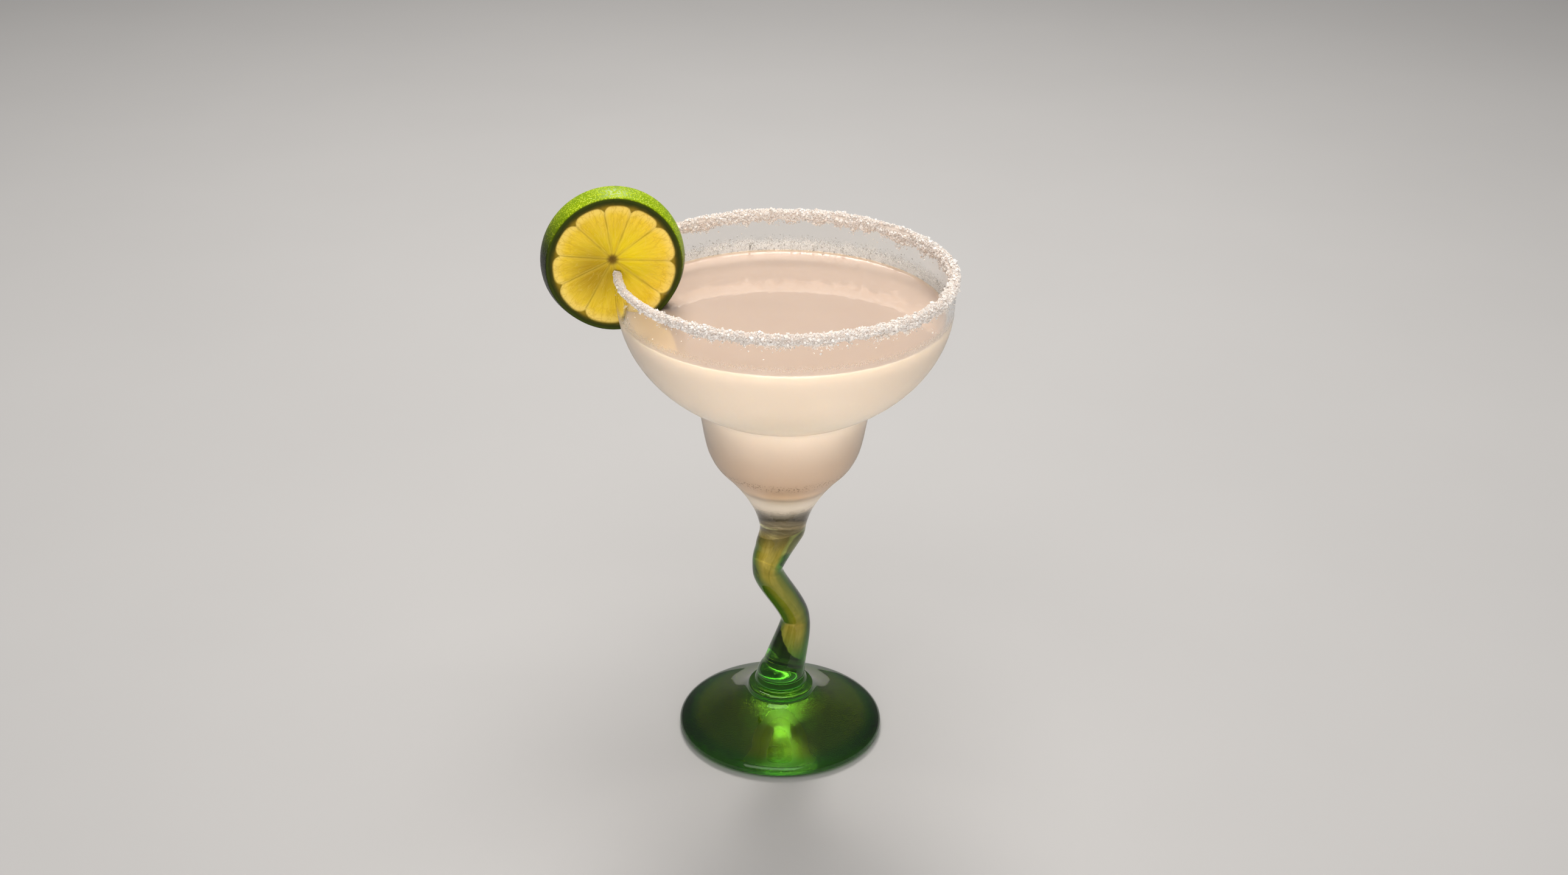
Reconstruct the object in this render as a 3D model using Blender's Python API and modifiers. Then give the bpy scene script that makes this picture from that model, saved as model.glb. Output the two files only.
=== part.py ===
"""A margarita in its glass: a clear two-tier bowl on a green zigzag stem and foot,
a cloudy drink, a crust of salt on the rim and a wheel of lime pushed onto the rim.

Metres, +Z up. The origin is the middle of the foot's underside, where the glass stands.
The drinker's side is -Y, and the lime sits at -X.
"""

import math

import bmesh
import bpy
from mathutils import Vector, noise

MM = 0.001
GAP = 0.30 * MM  # room left between two pieces that touch
MERGE = 0.00001

# Bowl: an elliptical upper tier, a step, and a narrower lower tier that ends in a neck
BOWL_STEPS = 48
RIM_Z = 173.8 * MM
RIM_R = 55.5 * MM
RIM_WALL = 1.9 * MM
WALL_GROWTH = 0.35  # share by which the upper tier's wall is thicker at the step
BELLY_R = 55.2 * MM
BELLY_Z = 165.0 * MM
BELLY_DROP = 43.8 * MM
STEP_Z = 128.2 * MM
JOINT_Z = 78.0 * MM
LOWER_OUTSIDE = ((27.9, 121.5), (26.8, 115.0), (25.4, 109.5), (22.8, 104.6), (19.0, 100.4),
                 (15.3, 95.8), (12.0, 90.8), (9.6, 85.9), (8.2, 81.4), (7.6, 78.0))
LOWER_INSIDE = ((27.6, 129.6), (25.6, 121.0), (24.4, 114.5), (21.8, 107.0), (17.0, 100.2),
                (10.5, 95.6), (5.0, 94.3), (0.0, 94.0))

CAVITY_FLOOR_R = 20.0 * MM

# Drink
LEVEL_Z = 159.4 * MM

# Stem: a rod of changing thickness along a zigzag that leans away to the back right
STEM_PLANE = math.radians(35)
STEM_ROUNDNESS = 9
STEM_RINGS = 8
STEM_STATIONS = (  # height, offset in the zigzag's plane, radius and handle in mm, then slope
    (80.5, 0.2, 8.1, 2.0, 0.25),
    (71.4, -4.2, 6.1, 3.0, 0.46),
    (64.6, -6.2, 5.2, 4.5, 0.0),
    (40.6, 6.0, 5.0, 6.0, 0.0),
    (17.0, 0.2, 8.4, 7.0, 0.0),
)
FOOT_STEPS = 48
FOOT_OUTSIDE = ((0.0, 20.4), (8.0, 20.3), (8.9, 19.6), (9.2, 18.6), (9.0, 17.9), (10.9, 17.4),
                (11.6, 16.3), (11.5, 15.2), (13.6, 12.9), (18.5, 10.0), (25.0, 7.2), (31.0, 5.2),
                (34.2, 4.0), (35.5, 2.9), (35.8, 1.8), (35.2, 0.6), (34.0, 0.0), (0.0, 0.0))

# Lime wheel, facing the drinker and turned a little towards the glass
LIME_CENTRE = (-55.9 * MM, 0.5 * MM, 175.9 * MM)
LIME_YAW = math.radians(9.3)
LIME_FRONT_R = 22.45 * MM
LIME_BACK_R = 23.7 * MM
LIME_THICK = 8.4 * MM
LIME_BEVEL = 0.5 * MM
LIME_SIDES = 64
LIME_TALL = 0.013  # how much taller than wide, as a share each way
LIME_WAVE = 0.005
LIME_FLATS = ((232, 0.40, 0.016), (322, 0.38, 0.020))  # angle, width, share of the radius lost
FLESH_R = 19.8 * MM
CORE_OFFSET = (-0.6 * MM, 1.8 * MM)
CORE_R = 1.5 * MM
MEMBRANE = 0.8 * MM
FLESH_DROP = 0.4 * MM
MEMBRANES_DEG = (98, 68, 36, -4, -39, -80, -119, -155, -187, -226)
SLIT_ROOM = 0.36 * MM  # between the slit and the glass wall it straddles

# Salt crust: sections around the rim, with a gap where the lime sits
SALT_SECTIONS = 124
SALT_GAP_DEG = (173.7, 185.2)
SALT_THICK = 0.9 * MM
SALT_ROUGH = 0.75  # share by which the thickness varies
SALT_OUTSIDE = 2.5 * MM
SALT_INSIDE = 3.5 * MM
SALT_GLASS_GAP = 0.4 * MM


def clear_scene():
    for item in list(bpy.data.objects):
        bpy.data.objects.remove(item, do_unlink=True)


def new_collection(name):
    group = bpy.data.collections.new(name)
    bpy.context.scene.collection.children.link(group)
    return group


def material(name, colour, roughness, transmission=0.0):
    """A Principled material, see-through where transmission is given."""
    made = bpy.data.materials.new(name)
    made.use_nodes = True
    shader = made.node_tree.nodes["Principled BSDF"]
    shader.inputs["Base Color"].default_value = (*colour, 1.0)
    shader.inputs["Roughness"].default_value = roughness
    shader.inputs["Metallic"].default_value = 0.0
    shader.inputs["Transmission Weight"].default_value = transmission
    return made


def new_object(name, mesh, group, finish=None):
    made = bpy.data.objects.new(name, mesh)
    group.objects.link(made)
    if finish:
        mesh.materials.append(finish)
    return made


def as_cutter(made):
    made.hide_render = True
    made.display_type = "WIRE"
    return made


def turned(name, profile, steps, group, finish=None):
    """A solid turned about Z from (radius, height) points that run down its outer side."""
    mesh = bpy.data.meshes.new(name)
    points = [(r, 0.0, z) for r, z in profile]
    edges = [(i, i + 1) for i in range(len(points) - 1)]
    mesh.from_pydata(points, edges, [])
    made = new_object(name, mesh, group, finish)
    screw = made.modifiers.new("Turn", "SCREW")
    screw.axis = "Z"
    screw.steps = screw.render_steps = steps
    screw.use_merge_vertices = True
    screw.merge_threshold = MERGE
    screw.use_smooth_shade = True
    return made


def boolean(target, other, operation):
    modifier = target.modifiers.new(operation.title() + " " + other.name, "BOOLEAN")
    modifier.operation = operation
    modifier.object = other
    modifier.solver = "EXACT"


def in_metres(points):
    return [(r * MM, z * MM) for r, z in points]


def belly_radius(z):
    """Outer radius of the upper tier at a height."""
    if z >= BELLY_Z:
        share = (z - BELLY_Z) / (RIM_Z - BELLY_Z)
        return BELLY_R + (RIM_R - BELLY_R) * share
    return BELLY_R * math.sqrt(1 - ((BELLY_Z - z) / BELLY_DROP) ** 2)


def belly_wall(z):
    """Wall thickness of the upper tier, which grows a little towards the step."""
    share = (RIM_Z - z) / (RIM_Z - STEP_Z)
    return RIM_WALL * (1 + WALL_GROWTH * share ** 2)


def belly_heights(low, high, count):
    """Heights along the upper tier, closer together where it turns in."""
    return [low + (high - low) * (k / count) ** 1.5 for k in range(count + 1)]


def bowl_outside():
    """Outer profile from just under the lip down to the joint with the stem."""
    heights = belly_heights(STEP_Z, RIM_Z - RIM_WALL / 2, 9)
    return [(belly_radius(z), z) for z in reversed(heights)] + in_metres(LOWER_OUTSIDE)


def bowl_inside(offset=0.0):
    """Inner profile from the bottom of the cavity up to just under the lip, moved in by offset."""
    turn = LOWER_INSIDE[0][1] * MM
    lower = []
    for r, z in reversed(in_metres(LOWER_INSIDE)):
        lift = offset if r < CAVITY_FLOOR_R else 0.0
        lower.append((max(r - offset, 0.0), z + lift))
    heights = belly_heights(turn, RIM_Z - RIM_WALL / 2, 8)[1:]
    return lower + [(belly_radius(z) - belly_wall(z) - offset, z) for z in heights]


def lip_profile():
    """The rounded lip, from inside to outside."""
    half = RIM_WALL / 2
    middle = belly_radius(RIM_Z) - half
    turns = [math.pi * share for share in (0.25, 0.5, 0.75)]
    return [(middle - half * math.cos(turn), RIM_Z - half + half * math.sin(turn))
            for turn in turns]


def make_bowl(group):
    finish = material("clear glass", (0.93, 0.94, 0.92), 0.03, 1.0)
    profile = bowl_inside() + lip_profile() + bowl_outside() + [(0.0, JOINT_Z)]
    return turned("bowl", profile, BOWL_STEPS, group, finish)


def make_drink(group, cutters):
    """The drink fills both tiers up to its level, cut round the dipping edge of the lime."""
    finish = material("cloudy drink", (0.86, 0.80, 0.68), 0.12)
    wet = [(r, z) for r, z in bowl_inside(GAP) if z < LEVEL_Z - GAP]
    edge = belly_radius(LEVEL_Z) - belly_wall(LEVEL_Z) - GAP
    profile = [(0.0, LEVEL_Z), (edge, LEVEL_Z)] + list(reversed(wet))
    drink = turned("drink", profile, BOWL_STEPS, group, finish)
    room = LIME_THICK / 2 + GAP
    radius = LIME_BACK_R * (1 + LIME_TALL) + 2 * GAP
    disc = [(0.0, room), (radius, room), (radius, -room), (0.0, -room)]
    notch = as_cutter(turned("lime room", disc, LIME_SIDES, cutters))
    place_as_lime(notch)
    boolean(drink, notch, "DIFFERENCE")
    return drink


def stem_curve(group):
    """The zigzag rod as a bevelled curve, each point with its own radius."""
    data = bpy.data.curves.new("stem rod", "CURVE")
    data.dimensions = "3D"
    data.bevel_depth = MM
    data.bevel_resolution = STEM_ROUNDNESS
    data.use_fill_caps = True
    data.resolution_u = STEM_RINGS
    spline = data.splines.new("BEZIER")
    spline.bezier_points.add(len(STEM_STATIONS) - 1)
    sideways = Vector((math.cos(STEM_PLANE), math.sin(STEM_PLANE), 0))
    for point, (height, sway, radius, handle, slope) in zip(spline.bezier_points, STEM_STATIONS):
        place = (sideways * sway + Vector((0, 0, height))) * MM
        reach = (sideways * slope + Vector((0, 0, 1))) * handle * MM
        point.co = place
        point.handle_left_type = point.handle_right_type = "FREE"
        point.handle_left = place + reach
        point.handle_right = place - reach
        point.radius = radius
    rod = bpy.data.objects.new("stem rod", data)
    group.objects.link(rod)
    return rod


def as_mesh(curve, group, top):
    """The curve as a closed mesh, its caps joined to its sides, cut off level at its top."""
    bpy.context.view_layer.update()
    graph = bpy.context.evaluated_depsgraph_get()
    mesh = bpy.data.meshes.new_from_object(curve.evaluated_get(graph))
    work = bmesh.new()
    work.from_mesh(mesh)
    bmesh.ops.remove_doubles(work, verts=work.verts, dist=MERGE)
    everything = work.verts[:] + work.edges[:] + work.faces[:]
    bmesh.ops.bisect_plane(work, geom=everything, plane_co=(0, 0, top), plane_no=(0, 0, 1),
                           clear_outer=True)
    bmesh.ops.holes_fill(work, edges=[edge for edge in work.edges if edge.is_boundary])
    work.to_mesh(mesh)
    work.free()
    made = new_object(curve.name, mesh, group)
    made.matrix_world = curve.matrix_world
    bpy.data.objects.remove(curve, do_unlink=True)
    return made


def make_stem(group, cutters):
    """Foot and stem are one piece of green glass."""
    finish = material("green glass", (0.05, 0.30, 0.04), 0.04, 0.9)
    foot = turned("stem_and_foot", in_metres(FOOT_OUTSIDE), FOOT_STEPS, group, finish)
    rod = as_cutter(as_mesh(stem_curve(cutters), cutters, JOINT_Z - GAP))
    boolean(foot, rod, "UNION")
    return foot


def place_as_lime(made):
    """Stands a piece that was turned about Z upright on the rim, its +Z towards the drinker."""
    made.rotation_euler = (math.pi / 2, 0.0, LIME_YAW)
    made.location = LIME_CENTRE


def lime_outline(angle):
    """How far the uneven rind stands from a true circle, as a factor."""
    flats = sum(depth * math.exp(-((angle - math.radians(place)) / width) ** 2)
                for place, width, depth in LIME_FLATS)
    return 1 - LIME_TALL * math.cos(2 * angle) + LIME_WAVE * math.cos(3 * angle + 2.1) - flats


def uneven(mesh):
    """Moves every point of a lime mesh out or in by the rind's uneven outline."""
    for vertex in mesh.vertices:
        angle = math.atan2(vertex.co.y, vertex.co.x) % (2 * math.pi)
        factor = lime_outline(angle)
        vertex.co.x *= factor
        vertex.co.y *= factor


def segment_outline(first_deg, last_deg):
    """A flesh segment between two membranes: a wedge with a rounded outer end."""
    start, end = math.radians(first_deg), math.radians(last_deg)
    middle, half = (start + end) / 2, (end - start) / 2
    core = Vector(CORE_OFFSET)
    tip = CORE_R + MEMBRANE / (2 * math.sin(half))
    points = [core + tip * Vector((math.cos(middle), math.sin(middle)))]
    count = 8
    for k in range(count + 1):
        share = 2 * k / count - 1
        inset = math.asin(MEMBRANE / 2 / FLESH_R)
        angle = middle + share * (half - inset)
        way = Vector((math.cos(angle), math.sin(angle)))
        along = core.dot(way)
        reach = math.sqrt(along ** 2 - core.length_squared + FLESH_R ** 2) - along
        points.append(core + way * reach * (1 - 0.12 * abs(share) ** 5))
    return [(p.x, p.y * (1 + LIME_TALL)) for p in points]


def segment_cutters(group):
    """Shallow pockets, one for each segment on each face, as one cutter mesh."""
    work = bmesh.new()
    face_z = LIME_THICK / 2
    bounds = list(MEMBRANES_DEG) + [MEMBRANES_DEG[0] - 360]
    for side in (1, -1):
        low, high = face_z - FLESH_DROP, face_z + 1.0 * MM
        for last, first in zip(bounds, bounds[1:]):
            outline = segment_outline(first, last)
            ends = [[work.verts.new((x, y, side * z)) for x, y in outline] for z in (low, high)]
            work.faces.new(ends[0])
            work.faces.new(ends[1])
            for i in range(len(outline)):
                j = (i + 1) % len(outline)
                work.faces.new((ends[0][i], ends[0][j], ends[1][j], ends[1][i]))
    bmesh.ops.recalc_face_normals(work, faces=work.faces)
    mesh = bpy.data.meshes.new("segment pockets")
    work.to_mesh(mesh)
    work.free()
    return as_cutter(new_object("segment pockets", mesh, group))


def lime_profile():
    """Half section of the slice: flat faces, bevelled edges and a rind that bulges to the back."""
    front, back = LIME_THICK / 2, -LIME_THICK / 2
    bulge = 1.9
    spans = 4
    rind = []
    for k in range(spans + 1):
        share = k / spans
        growth = (LIME_BACK_R - LIME_FRONT_R) * math.sin(share * bulge) / math.sin(bulge)
        depth = LIME_BEVEL + share * (LIME_THICK - 2 * LIME_BEVEL)
        rind.append((LIME_FRONT_R + growth, front - depth))
    return ([(0.0, front), (LIME_FRONT_R / 2, front), (LIME_FRONT_R - LIME_BEVEL, front)] + rind
            + [(LIME_BACK_R - LIME_BEVEL, back), (LIME_BACK_R / 2, back), (0.0, back)])


def make_lime(group, cutters):
    finish = material("lime", (0.62, 0.66, 0.08), 0.35)
    lime = turned("lime_wheel", lime_profile(), LIME_SIDES, group, finish)
    bpy.context.view_layer.update()
    graph = bpy.context.evaluated_depsgraph_get()
    lime.data = bpy.data.meshes.new_from_object(lime.evaluated_get(graph))
    lime.modifiers.clear()
    uneven(lime.data)
    place_as_lime(lime)
    pockets = segment_cutters(cutters)
    place_as_lime(pockets)
    boolean(lime, pockets, "DIFFERENCE")
    slit = as_cutter(turned("rim slit", slit_profile(), 96, cutters))
    boolean(lime, slit, "DIFFERENCE")
    return lime


def slit_profile():
    """A ring a little thicker than the glass wall, from under the wheel to over the lip."""
    low, high = LIME_CENTRE[2] - LIME_BACK_R * 1.15, RIM_Z + SLIT_ROOM
    count = 6
    heights = [low + (high - low) * k / count for k in range(count + 1)]
    inner = [(belly_radius(z) - belly_wall(z) - SLIT_ROOM, z) for z in heights]
    outer = [(belly_radius(z) + SLIT_ROOM, z) for z in reversed(heights)]
    return inner + outer + inner[:1]


def grains(angle, lane, scale):
    """Uneven salt from -1 to 1 at an angle round the rim, each lane with grains of its own."""
    size = RIM_R / scale
    return noise.noise(Vector((math.cos(angle) * size, math.sin(angle) * size, lane * 5.2)))


def ragged(angle, lane):
    """How far the crust's edge hangs down at an angle, as a factor near 1."""
    return 1 + 0.6 * grains(angle, lane, 10 * MM) + 0.6 * grains(angle, lane + 0.4, 2.6 * MM)


def beside_wall(outside, z, lift):
    """Distance from the axis of a point that stands off the glass wall at a height."""
    if outside:
        return belly_radius(z) + SALT_GLASS_GAP + lift
    return belly_radius(z) - belly_wall(z) - SALT_GLASS_GAP - lift


def over_lip(turn, lift):
    """Radius and height of a point over the lip, from outside (0) round to inside (pi)."""
    middle, top = belly_radius(RIM_Z) - RIM_WALL / 2, RIM_Z - RIM_WALL / 2
    reach = RIM_WALL / 2 + SALT_GLASS_GAP + lift
    return middle + reach * math.cos(turn), top + reach * math.sin(turn)


def salt_section(angle):
    """One closed section of the crust: up outside, over the rim, down inside, then back."""
    top = RIM_Z - RIM_WALL / 2
    skirts = {True: SALT_OUTSIDE * ragged(angle, 20), False: SALT_INSIDE * ragged(angle, 30)}
    route = [(True, share) for share in (1.0, 0.72, 0.38, 0.0)]
    route += [("lip", 0.3), ("lip", 0.7)]
    route += [(False, share) for share in (0.0, 0.38, 0.72, 1.0)]
    points = []
    for lane, (side, share) in enumerate(route):
        lift = SALT_THICK * (1 + SALT_ROUGH * grains(angle, lane, 2.4 * MM))
        if side == "lip":
            points.append(over_lip(share * math.pi, lift))
            continue
        z = top - skirts[side] * share
        points.append((beside_wall(side, z, lift * (0.3 if share == 1.0 else 1.0)), z))
    inner_end, outer_end = top - skirts[False] * 0.9, top - skirts[True] * 0.9
    points.append((beside_wall(False, inner_end, 0), inner_end))
    points += [over_lip(turn * math.pi, 0) for turn in (0.88, 0.5, 0.12)]
    points.append((beside_wall(True, outer_end, 0), outer_end))
    return [Vector((r * math.cos(angle), r * math.sin(angle), z)) for r, z in points]


def make_salt(group):
    """The crust is a loft of uneven sections round the rim, open where the lime sits."""
    finish = material("salt", (0.90, 0.87, 0.84), 0.55)
    start, end = math.radians(SALT_GAP_DEG[1]), math.radians(SALT_GAP_DEG[0] + 360)
    work = bmesh.new()
    rings = []
    for k in range(SALT_SECTIONS + 1):
        angle = start + (end - start) * k / SALT_SECTIONS
        rings.append([work.verts.new(p) for p in salt_section(angle)])
    for near, far in zip(rings, rings[1:]):
        count = len(near)
        for i in range(count):
            j = (i + 1) % count
            work.faces.new((near[i], near[j], far[j], far[i]))
    work.faces.new(rings[0])
    work.faces.new(list(reversed(rings[-1])))
    bmesh.ops.recalc_face_normals(work, faces=work.faces)
    mesh = bpy.data.meshes.new("salt_rim")
    work.to_mesh(mesh)
    work.free()
    return new_object("salt_rim", mesh, group, finish)


def main():
    clear_scene()
    parts = new_collection("margarita")
    cutters = new_collection("cutters")
    make_bowl(parts)
    make_stem(parts, cutters)
    make_drink(parts, cutters)
    make_lime(parts, cutters)
    make_salt(parts)


main()
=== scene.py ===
"""The looks of a margarita: clear and green glass, a cloudy drink, a salted rim and a lime wheel.

Metres, +Z up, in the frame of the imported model. The camera is on the -Y side.
"""

import math

import bpy
import numpy as np
from mathutils import Matrix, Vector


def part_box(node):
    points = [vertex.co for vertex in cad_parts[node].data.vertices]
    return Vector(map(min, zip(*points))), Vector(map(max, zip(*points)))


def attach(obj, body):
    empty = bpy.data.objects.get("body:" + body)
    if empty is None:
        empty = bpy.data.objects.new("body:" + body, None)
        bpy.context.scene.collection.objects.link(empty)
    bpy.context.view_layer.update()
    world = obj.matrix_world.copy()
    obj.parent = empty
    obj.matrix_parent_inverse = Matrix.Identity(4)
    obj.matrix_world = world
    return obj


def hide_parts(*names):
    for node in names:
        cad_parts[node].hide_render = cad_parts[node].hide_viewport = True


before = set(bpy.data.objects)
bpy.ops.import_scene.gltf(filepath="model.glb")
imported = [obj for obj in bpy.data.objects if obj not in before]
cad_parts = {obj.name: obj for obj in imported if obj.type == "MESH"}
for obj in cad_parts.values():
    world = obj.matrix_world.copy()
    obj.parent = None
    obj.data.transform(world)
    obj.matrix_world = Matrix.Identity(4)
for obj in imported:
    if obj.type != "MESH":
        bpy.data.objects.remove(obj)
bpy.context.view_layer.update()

MM = 0.001

# The photograph's view
IMAGE_WIDTH = 2576
FOCAL_PIXELS = 3578
SENSOR = 36.0
CAMERA_PLACE = (0.0, -0.65715, 0.43505)
CAMERA_PITCH = 0.4554
CAMERA_ROLL = 0.0135

# Bowl, in mm: an elliptical upper tier, a step, and a lower tier that narrows to a neck
RIM_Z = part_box("bowl")[1][2] / MM
RIM_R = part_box("bowl")[1][0] / MM
RIM_WALL = 1.9
WALL_GROWTH = 0.35
BELLY_R = 55.2
BELLY_Z = 165.0
BELLY_DROP = 43.8
STEP_Z = 128.2
LOWER_OUTSIDE = ((27.9, 121.5), (26.8, 115.0), (25.4, 109.5), (22.8, 104.6), (19.0, 100.4),
                 (15.3, 95.8), (12.0, 90.8), (9.6, 85.9), (8.2, 81.4), (7.6, 78.0), (7.4, 74.0))
LOWER_INSIDE = ((27.6, 129.6), (25.6, 121.0), (24.4, 114.5), (21.8, 107.0), (17.0, 100.2),
                (10.5, 95.6), (5.0, 94.3), (0.0, 94.0))
AROUND = 192

# Seam between clear and green glass: a ring that rises to the right
SEAM_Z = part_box("bowl")[0][2] / MM + 0.8
SEAM_TILT = 0.24
SEAM_REACH = 9.0
SEAM_R = 8.0
NECK_BLEND = (74.5, 82.0)

# Stem and foot, in mm
STEM_PLANE = math.radians(35)
STEM_STATIONS = (  # height, offset in the zigzag's plane, radius, handle, slope
    (80.5, 0.2, 8.1, 2.0, 0.25),
    (71.4, -4.2, 6.1, 3.0, 0.46),
    (64.6, -6.2, 5.2, 4.5, 0.0),
    (40.6, 6.0, 5.0, 6.0, 0.0),
    (17.0, 0.2, 8.4, 7.0, 0.0),
)
COLLAR_Z = 21.0
COLLAR_BLEND_Z = 26.0
FOOT_OUTSIDE = ((8.3, 20.6), (8.9, 19.6), (9.2, 18.7), (9.0, 17.9), (9.6, 17.5), (10.9, 17.3),
                (11.6, 16.4), (11.5, 15.3), (11.8, 14.4), (13.6, 12.9), (18.5, 10.0), (25.0, 7.2),
                (31.0, 5.2), (34.2, 4.0), (35.5, 2.9), (35.8, 1.8), (35.3, 0.7), (34.2, 0.1))
UNDERSIDE_R = (33.6, 28.0, 20.0, 10.0)

# Drink and damp, in mm
LEVEL_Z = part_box("drink")[1][2] / MM
LEVEL_DIP = 0.05
INTO_WALL = 0.35
MENISCUS = 0.9
MENISCUS_REACH = 0.9
BEAD_TRIES = 4800
BEAD_REACH = 6.5
BEAD_SIZE = 0.14

# Lime wheel, in mm
LIME_CENTRE = (-55.9, 0.5, 175.9)
LIME_YAW = math.radians(9.3)
LIME_FRONT_R = 22.45
LIME_BACK_R = 23.7
LIME_THICK = 8.4
FACE_R = 22.05
EDGE_ROUND = 0.35
RIND_BULGE = 1.9
LIME_TALL = 0.013
LIME_FLATS = ((232, 0.40, 0.016), (322, 0.38, 0.020))
FLESH_R = 19.8
CORE_OFFSET = (-0.6, 1.8)
MEMBRANES_DEG = (98, 68, 36, -4, -39, -80, -119, -155, -187, -226)
LIME_SHADED_PLACE = (-61.5, -3.5, 173.5)  # painted shade on the pulp centres about here
LIME_LIT_PLACE = (-50.5, -3.5, 178.0)  # painted light on the pulp centres about here
SLIT_ROOM = 0.12
LIME_AROUND = 400
LIME_ACROSS = 70

# Salt, in mm and degrees round the rim
SALT_GAP_DEG = (174.6, 184.2)
SALT_PLACES_DEG = (0, 30, 75, 120, 150, 174, 184, 205, 235, 265, 300, 340, 360)
SALT_AMOUNTS = (1.05, 1.05, 1.05, 0.95, 0.75, 0.60, 0.25, 0.38, 0.75, 0.95, 1.0, 1.05, 1.05)
SALT_OUTSIDE = 2.3
SALT_INSIDE = 3.9
SALT_THICK = 0.62
LIP_START, LIP_END = 0.35, 0.65
CRUST_AROUND, CRUST_ACROSS = 1000, 26
CRUST_SHARE = 0.74
COARSE_GRAINS, COARSE_SIZE = 12000, 0.36
STRAY_GRAINS, STRAY_SIZE = 500, 0.26
FINE_GRAINS, FINE_SIZE = 15500, 0.24

# Heights and radii in the materials, in mm
DAMP_REACH = 7.0
NECK_WAVES = 3.0
NECK_STREAKS = 9.0
BUBBLE_RING = (102.5, 105.0, 105.5, 108.0)
LOW_DARK_LINE = (96.4, 97.2, 97.8, 98.8)
FOOT_DISC = (11.0, 17.0, 28.0, 33.0)
DRINK_SPAN = (90.0, 170.0)

# How strongly each material bends light
GLASS_IOR = 1.5
JUICE_IOR = 1.34
SALT_IOR = 1.54
FRUIT_IOR = 1.36

# Colours of the glass
CLEAR = (0.985, 0.98, 0.97)
DAMP_DOT_PAINTED_SHADE = (0.40, 0.37, 0.34)
HONEY_PAINTED_GLOW = (0.96, 0.82, 0.64)
NECK_PAINTED_SHADE = (0.19, 0.145, 0.06)
NECK_PAINTED_GLINT = (0.54, 0.47, 0.30)
BUBBLE = (0.16, 0.12, 0.08)
# Olive gold streaks: the stem's olive glass, with warm brown surroundings seen through it painted in
STEM_STREAKS_PAINTED_WARM = ((0.30, (0.24, 0.205, 0.010)), (0.50, (0.56, 0.43, 0.045)),
                (0.60, (0.80, 0.64, 0.14)), (0.68, (0.58, 0.45, 0.050)))
STEM_EDGE_PAINTED_SHADE = (0.11, 0.21, 0.008)
STEM_RIM_PAINTED_SHADE = (0.005, 0.060, 0.003)
SEAM_PAINTED_SHADE = (0.05, 0.040, 0.015)
EMERALD = (0.006, 0.16, 0.008)
WEDGE_PAINTED_HIGHLIGHT = (0.55, 0.80, 0.34)
FOOT_GREENS = ((0.020, 0.180, 0.006), (0.042, 0.240, 0.012))
FOOT_PAINTED_OLIVE = (0.21, 0.29, 0.014)

# Colours of the drink and the salt
# The drink's tone by height is painted light and shade, the same all round
DRINK_PAINTED_LIGHT_BY_HEIGHT = ((96.4, (0.96, 0.77, 0.56)), (99.6, (0.80, 0.60, 0.42)), (102.8, (0.53, 0.37, 0.245)),
                   (112.4, (0.55, 0.415, 0.30)), (119.6, (0.68, 0.555, 0.435)), (126.0, (0.92, 0.79, 0.65)),
                   (134.0, (0.96, 0.85, 0.71)), (142.8, (0.86, 0.74, 0.60)), (155.6, (0.72, 0.61, 0.485)))
DRINK_TOP_PAINTED_SHADE = ((0.58, 0.447, 0.362), (0.65, 0.51, 0.417))
LOW_LINE_BROWN = (0.13, 0.085, 0.05)
CRUST_PAINTED_SHADE_TONES = ((0.57, 0.48, 0.42), (0.82, 0.73, 0.66))
CRYSTAL_TONES = ((0.83, 0.74, 0.68), (1.0, 0.95, 0.90))
SALT_STAIN = (0.62, 0.46, 0.34)

# Colours of the lime
FLESH_INNER = (0.61, 0.475, 0.002)
FLESH_OUTER = (0.86, 0.615, 0.035)
FLESH_SEGMENT = (0.56, 0.375, 0.006)
FLESH_FIBRE = (0.58, 0.36, 0.006)
FLESH_CELL = (0.90, 0.66, 0.09)
FLESH_PAINTED_LIGHT = (0.86, 0.68, 0.003)
FLESH_PAINTED_SHADE = (0.36, 0.215, 0.008)
FLESH_END = (0.92, 0.71, 0.20)
FLESH_WALL = (0.88, 0.68, 0.20)
FLESH_VEIN = (0.58, 0.36, 0.02)
FLESH_MEMBRANE = (0.84, 0.65, 0.12)
FLESH_SEAM_PAINTED_SHADE = (0.46, 0.31, 0.012)
LIME_CORE = (0.17, 0.095, 0.015)
RIND_RING_PAINTED_SHADE = ((0.0, (0.27, 0.185, 0.012)), (0.18, (0.15, 0.105, 0.006)), (0.42, (0.060, 0.055, 0.003)),
             (0.80, (0.022, 0.030, 0.001)), (1.0, (0.035, 0.052, 0.002)))
PEEL_LIGHT_WAY = (0.25, 0.0, 0.97)
PEEL_PAINTED_SHADE = (0.010, 0.016, 0.001)
PEEL_GREENS = ((0.34, 0.50, 0.003), (0.46, 0.63, 0.006))
GLAND_SHADED_AND_LIT = ((0.035, 0.055, 0.002), (0.68, 0.78, 0.07))
GROOVE_SHADED_AND_LIT = ((0.006, 0.010, 0.001), (0.15, 0.26, 0.002))

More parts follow.
